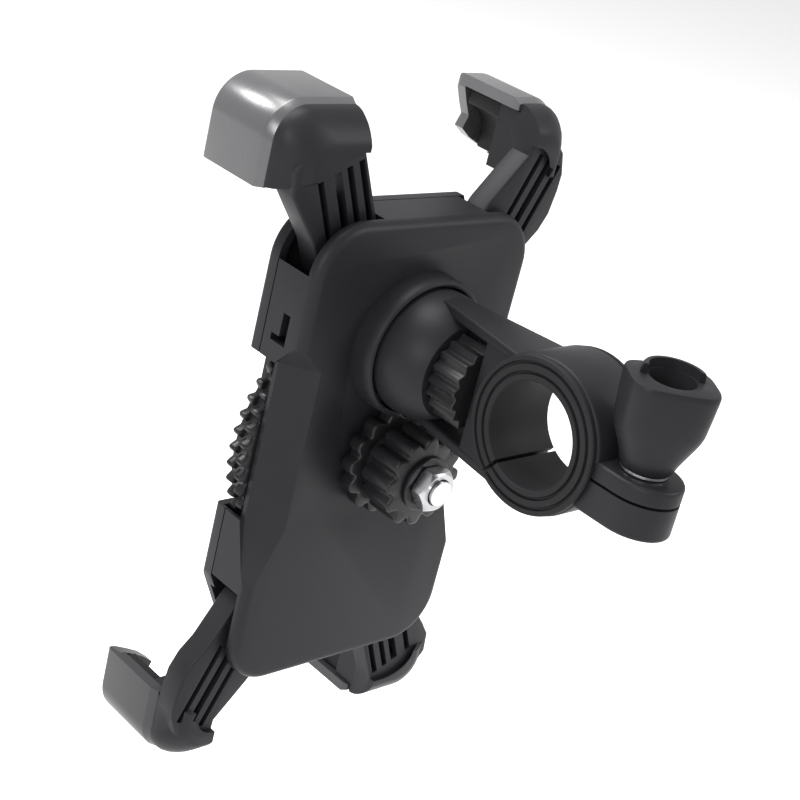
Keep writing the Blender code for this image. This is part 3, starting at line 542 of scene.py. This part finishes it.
def lock_knob():
    """Lobed flange and fluted grip on one neck, with the black washer and the chrome nut above it."""
    centre = (0.0, HUB_Z)
    flange = soften(prism(waved(12.8, 1.8, 14, centre, 10, 2.0), -44.7, -41.0), 0.5, 3, 60)
    grip = soften(prism(waved(10.8, 1.9, 12, centre, 10, 2.2), -40.0, -31.0), 0.6, 3, 60)
    knob = add(flange, rod("Y", HUB, 8.8, -42.0, -38.0, 96), grip)
    cut(knob, rod("Y", HUB, HUB_HOLE_R, -60, -20))
    show(knob, "lock_knob_grip", "knob", ["lock_knob"], GLOSSY)
    section = [(-30.7, HUB_HOLE_R), (-30.7, 6.4), (-30.1, 6.4), (-29.9, 6.2), (-29.9, HUB_HOLE_R)]
    washer = lathe(section, "Y", HUB, 64)
    show(washer, "knob_washer_black", "knob", ["knob_washer"], GLOSSY)
    nut = prism(hexagon(9.2, centre), -29.6, -26.2)
    keep = [(-29.6, 0.0), (-29.6, 4.9), (-29.2, 5.35), (-27.0, 5.35), (-26.2, 4.3), (-26.2, 0.0)]
    merge(nut, lathe(keep, "Y", HUB, 64), "INTERSECT")
    cut(nut, rod("Y", HUB, HUB_HOLE_R, -60, -10))
    show(soften(nut, 0.15, 2), "knob_nut_chrome", "knob", ["knob_nut"], CHROME)


# ---------------------------------------------------------------- arms and claws

ARM_PLAN = {
    "A": [(9.4, 45.0), (24.0, 37.6), (30.1, 49.9), (34.4, 55.4), (38.4, 60.6), (39.0, 66.0), (34.0, 73.0),
          (22.6, 72.5), (13.7, 54.1)],
    "B": [(11.8, 42.8), (28.3, 34.4), (35.1, 46.0), (38.2, 49.4), (40.2, 53.4), (41.1, 59.0), (41.2, 63.0),
          (39.6, 68.0), (34.0, 73.5), (28.6, 73.5), (28.2, 67.6), (18.9, 56.5)],
}
SLOT = {"A": ((21.4, 51.0), (28.0, 65.4)), "B": ((27.6, 48.0), (35.6, 66.6))}
THROUGH = {"A": ((24.6, 58.0), (27.4, 64.2)), "B": ((30.8, 55.5), (35.0, 65.2))}
GROOVES = {"A": (-4.4, 3.2, 6.4), "B": (-3.6, 3.6)}
CLAW_INNER = {"A": 20.6, "B": 27.6}
ARCH_START = {"A": 24.0, "B": 28.6}
FULLNESS = {"A": 1.0, "B": 0.75}
ARM_REAR = -49.6


def in_arm(kind, points):
    """Points given as (x, z) of the +X claw, in the arm's own axes."""
    sign = 1.0 if kind == "A" else -1.0
    out = Vector((sin(LEAN), sign * cos(LEAN)))
    side = Vector((-out.y, out.x))
    moved = [(Vector((x, sign * z)).dot(out), Vector((x, sign * z)).dot(side)) for x, z in points]
    return moved if kind == "A" else moved[::-1]


def band(start, end, half, shift=0.0):
    """Thin rectangle round a line, moved sideways by the shift."""
    a, b = Vector(start), Vector(end)
    along = (b - a).normalized()
    across = Vector((-along.y, along.x))
    middle = shift * across
    return [tuple(p + middle + q) for p, q in ((a, -half * across), (b, -half * across),
                                               (b, half * across), (a, half * across))]


def corner_outline(x0, z0, x1, z1, r, steps=12):
    """Claw plan: square towards the phone, rounded at the outer corner."""
    points = [(x0, z0), (x1, z0)]
    for k in range(steps + 1):
        a = pi / 2 * k / steps
        points.append((x1 - r + r * cos(a), z1 - r + r * sin(a)))
    return points + [(x0, z1)]


def saddle(kind, turn):
    """Crescent behind the cap: its outside rolls over and its inside ends in an arch above the arm."""
    levels = []
    x0 = CLAW_INNER[kind] + 0.8
    for y, inset in ((-55.7, 0.0), (-54.6, 0.15), (-53.4, 0.6), (-52.2, 1.4), (-51.0, 2.4), (-49.9, 3.7),
                     (-49.0, 5.1), (-48.4, 6.4)):
        inset *= FULLNESS[kind]
        x1, z1, low = 41.2 - inset, 77.7 - inset, 60.8 + 0.5 * inset
        outer = corner_outline(x0, low, x1, z1, 7.4 - 0.3 * inset)[1:]
        reach, rise = x1 - 1.6 - ARCH_START[kind], 70.0 - low
        turns = [pi / 24 * k for k in range(13)]
        inner = [(ARCH_START[kind] + reach * sin(a), low + rise * cos(a)) for a in turns]
        levels.append((y, in_arm(kind, outer + [(x0, 70.0)] + inner)))
    shape = loft(levels)
    shape.data.transform(arm_frame(kind, turn))
    return shape


def plug(kind, turn):
    """Block that fills the back of the cap, between its walls."""
    x0 = CLAW_INNER[kind] + 0.8
    return local_prism(kind, turn, in_arm(kind, corner_outline(x0, 61.2, 39.1, 75.6, 6.6)), -61.7, -54.5)


def arm(kind, turn, where):
    """Diagonal arm with its rack strip inside the case and the black back of its claw outside."""
    base = soften(local_prism(kind, turn, in_arm(kind, ARM_PLAN[kind]), -55.7, ARM_REAR), 0.6, 3)
    add(base, saddle(kind, turn), plug(kind, turn))
    level = (-53.3, -50.7) if kind == "A" else (-50.4, -48.0)
    add(base, local_prism(kind, turn, [(-16.0, 7.15), (46.0, 7.15), (46.0, 9.2), (-16.0, 9.2)], *level))
    cut(base, local_prism(kind, turn, in_arm(kind, band(*THROUGH[kind], 1.0)), -58.0, -40))
    cut(base, local_prism(kind, turn, in_arm(kind, band(*SLOT[kind], 1.0)), ARM_REAR - 3.0, ARM_REAR + 0.1))
    for shift in GROOVES[kind]:
        groove = in_arm(kind, band(*SLOT[kind], 0.75, shift))
        cut(base, local_prism(kind, turn, groove, ARM_REAR - 2.2, ARM_REAR + 0.1))
    show(base, "arm_" + where + "_bar", "claw_" + where, ["arm_" + where], BLACK)


def mirrored(points, sx, sz):
    """Points of the +X, +Z corner moved to the corner with these signs."""
    flipped = [(sx * x, HUB_Z + sz * z) for x, z in points]
    return flipped if sx * sz > 0 else flipped[::-1]


def claw(kind, sx, sz, where):
    """Hard cap with its front lip and mouth, and the rubber pad inside it."""
    x0 = CLAW_INNER[kind]
    levels = []
    for y, inset in ((-75.5, 0.9), (-75.2, 0.4), (-74.7, 0.1), (-74.0, 0.0), (-58.0, 0.0), (-57.7, 0.1),
                     (-56.0, 1.1)):
        outline = corner_outline(x0 + 0.3 * inset, 60.0 + 0.3 * inset, 42.0 - inset, 78.5 - inset,
                                 8.5 - 0.5 * inset, 20)
        levels.append((y, mirrored(outline, sx, sz)))
    cap = loft(levels)
    inside = [(10.0, 50.0), (39.4, 50.0), (39.4, 70.0), (38.2, 73.2), (35.6, 75.4), (33.5, 75.9),
              (10.0, 75.9)]
    cut(cap, prism(mirrored(inside, sx, sz), -72.9, -50.0))
    mouth = [(10.0, 50.0), (37.0, 50.0), (42.0, 59.8), (39.5, 60.6), (36.5, 61.9), (33.0, 63.6),
             (30.0, 65.8), (x0 + 3.6, 68.6), (x0 + 1.8, 71.8), (x0, 75.6), (x0, 76.0), (10.0, 76.0)]
    cut(cap, prism(mirrored(mouth, sx, sz), -80.0, -71.9))
    # Upper caps take the lighter copy as painted light, lower caps the darker copy as painted shade.
    mat = CAP_PAINTED_LIT if sz > 0 else CAP_PAINTED_SHADE
    body = "claw_" + where
    show(cap, "claw_cap_" + where + "_shell", body, ["claw_cap_" + where], mat, 22.0)
    ledge_end = (28.8, 72.1) if kind == "A" else (29.8, 72.0)
    pad_line = [(x0 + 1.5, 75.6), (x0 + 1.5, 72.1), ledge_end, (31.6, 71.3), (33.6, 69.9), (35.0, 68.0),
                (35.75, 65.6), (35.75, 61.5), (39.1, 61.5), (39.1, 69.4), (37.9, 72.4), (35.4, 74.7),
                (32.8, 75.6)]
    pad = soften(prism(mirrored(pad_line[::-1], sx, sz), -72.6, -62.0), 0.5, 3)
    show(pad, "claw_pad_" + where + "_rubber", body, ["claw_pad_" + where], RUBBER)


def arms_and_claws():
    corners = (("A", 0, 1, 1, "upper_right"), ("A", 180, -1, -1, "lower_left"),
               ("B", 0, 1, -1, "lower_right"), ("B", 180, -1, 1, "upper_left"))
    for kind, turn, sx, sz, where in corners:
        arm(kind, turn, where)
        claw(kind, sx, sz, where)


# ---------------------------------------------------------------- studio

def pale_floor():
    """Plain floor disc below the mount."""
    mat = bpy.data.materials.new("floor_white")
    mat.use_nodes = True
    shader = mat.node_tree.nodes["Principled BSDF"]
    shader.inputs["Base Color"].default_value = (0.9, 0.9, 0.9, 1.0)
    shader.inputs["Roughness"].default_value = 0.8
    bm = bmesh.new()
    bmesh.ops.create_circle(bm, cap_ends=True, radius=4.0, segments=96)
    mesh = bpy.data.meshes.new("floor")
    bm.to_mesh(mesh)
    bm.free()
    floor = bpy.data.objects.new("floor", mesh)
    floor.location.z = -0.155
    floor.data.materials.append(mat)
    bpy.context.scene.collection.objects.link(floor)


def soft_light():
    """White surroundings and four square softboxes aimed at the mount."""
    world = bpy.data.worlds.new("studio")
    world.use_nodes = True
    background = world.node_tree.nodes["Background"]
    background.inputs["Color"].default_value = (1.0, 1.0, 1.0, 1.0)
    background.inputs["Strength"].default_value = 0.85
    bpy.context.scene.world = world
    bpy.context.scene.view_settings.view_transform = "Standard"
    lights = (((0.15, -0.25, 0.85), 0.45, 8.0), ((0.90, 0.35, 0.35), 0.35, 5.0),
              ((-0.55, 0.60, 0.55), 0.40, 5.0), ((0.35, -0.56, 0.60), 0.22, 5.0))
    for k, (pos, size, power) in enumerate(lights):
        data = bpy.data.lights.new("softbox_%d" % k, "AREA")
        data.shape = "RECTANGLE"
        data.size = size
        data.size_y = size
        data.energy = power
        lamp = bpy.data.objects.new("softbox_%d" % k, data)
        lamp.location = pos
        aim = Vector((0.0, -0.03, -0.02)) - Vector(pos)
        lamp.rotation_euler = aim.to_track_quat("-Z", "Y").to_euler()
        bpy.context.scene.collection.objects.link(lamp)


def camera():
    """Behind, above and to the +X side of the mount, rolled a little as in the product shot."""
    right = Vector((-0.72129, 0.65478, 0.22586))
    down = Vector((0.11911, 0.43848, -0.89081))
    ahead = Vector((-0.68232, -0.61563, -0.39426))
    data = bpy.data.cameras.new("camera")
    data.sensor_width = 36.0
    data.lens = 77.6
    cam = bpy.data.objects.new("camera", data)
    turned = Matrix((right, -down, -ahead)).transposed().to_4x4()
    cam.matrix_world = Matrix.Translation((0.25862, 0.18956, 0.13463)) @ turned
    bpy.context.scene.collection.objects.link(cam)
    bpy.context.scene.camera = cam


paint_cad()
clamp_body()
bar_sleeve()
clamp_knob()
ball_lock_wheel()
front_plate()
rear_cover()
adjusting_wheel()
lock_knob()
arms_and_claws()
pale_floor()
soft_light()
camera()
